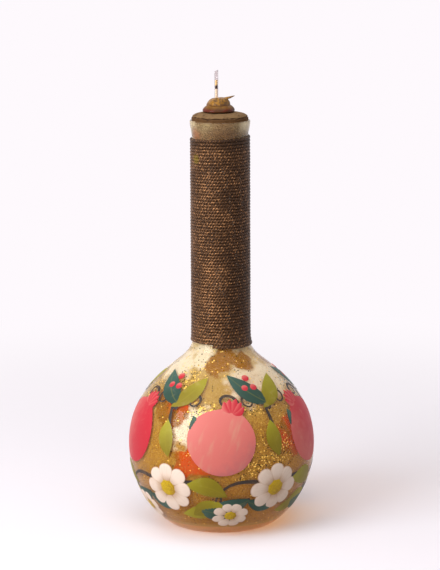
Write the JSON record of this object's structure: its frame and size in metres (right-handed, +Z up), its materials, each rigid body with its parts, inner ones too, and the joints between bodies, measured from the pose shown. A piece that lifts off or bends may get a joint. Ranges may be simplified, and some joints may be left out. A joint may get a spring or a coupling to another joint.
{
  "type": "decorative bottle",
  "caption": "Long-necked blown glass bottle with a round bulb, a cord-bound neck and a cork that carries a fine glass tube set in wax and resin.",
  "frame": {"origin": "centre of the foot ring, on the surface that the bottle stands on", "axes": "+Z up along the bottle's axis, -Y towards the front, +X to the right of the front"},
  "size_m": [0.106, 0.106, 0.2593],
  "materials": {
    "bottle_glass": "clear blown glass, lined with amber and gold, painted with enamel outside",
    "twine": "dark brown twisted cord with metallic flecks",
    "cork": "aged cork",
    "wax": "glossy red-brown sealing wax",
    "resin": "amber resin",
    "tube_glass": "clear drawn glass",
    "column": "pale filling",
    "plug": "dark brown filling",
    "bead": "amber filling"
  },
  "bodies": {
    "bottle": {"glass_bottle": "bottle_glass", "neck_cord": "twine"},
    "stopper": {"cork_stopper": "cork", "wax_collar": "wax", "resin_cap": "resin", "glass_tube": "tube_glass", "tube_column": "column", "tube_plug": "plug", "tube_bead": "bead"}
  },
  "joints": [
    {"name": "stopper_pull", "type": "slide", "parent": "bottle", "child": "stopper", "axis": [0, 0, 1], "range_m": [0, 0.032]}
  ]
}
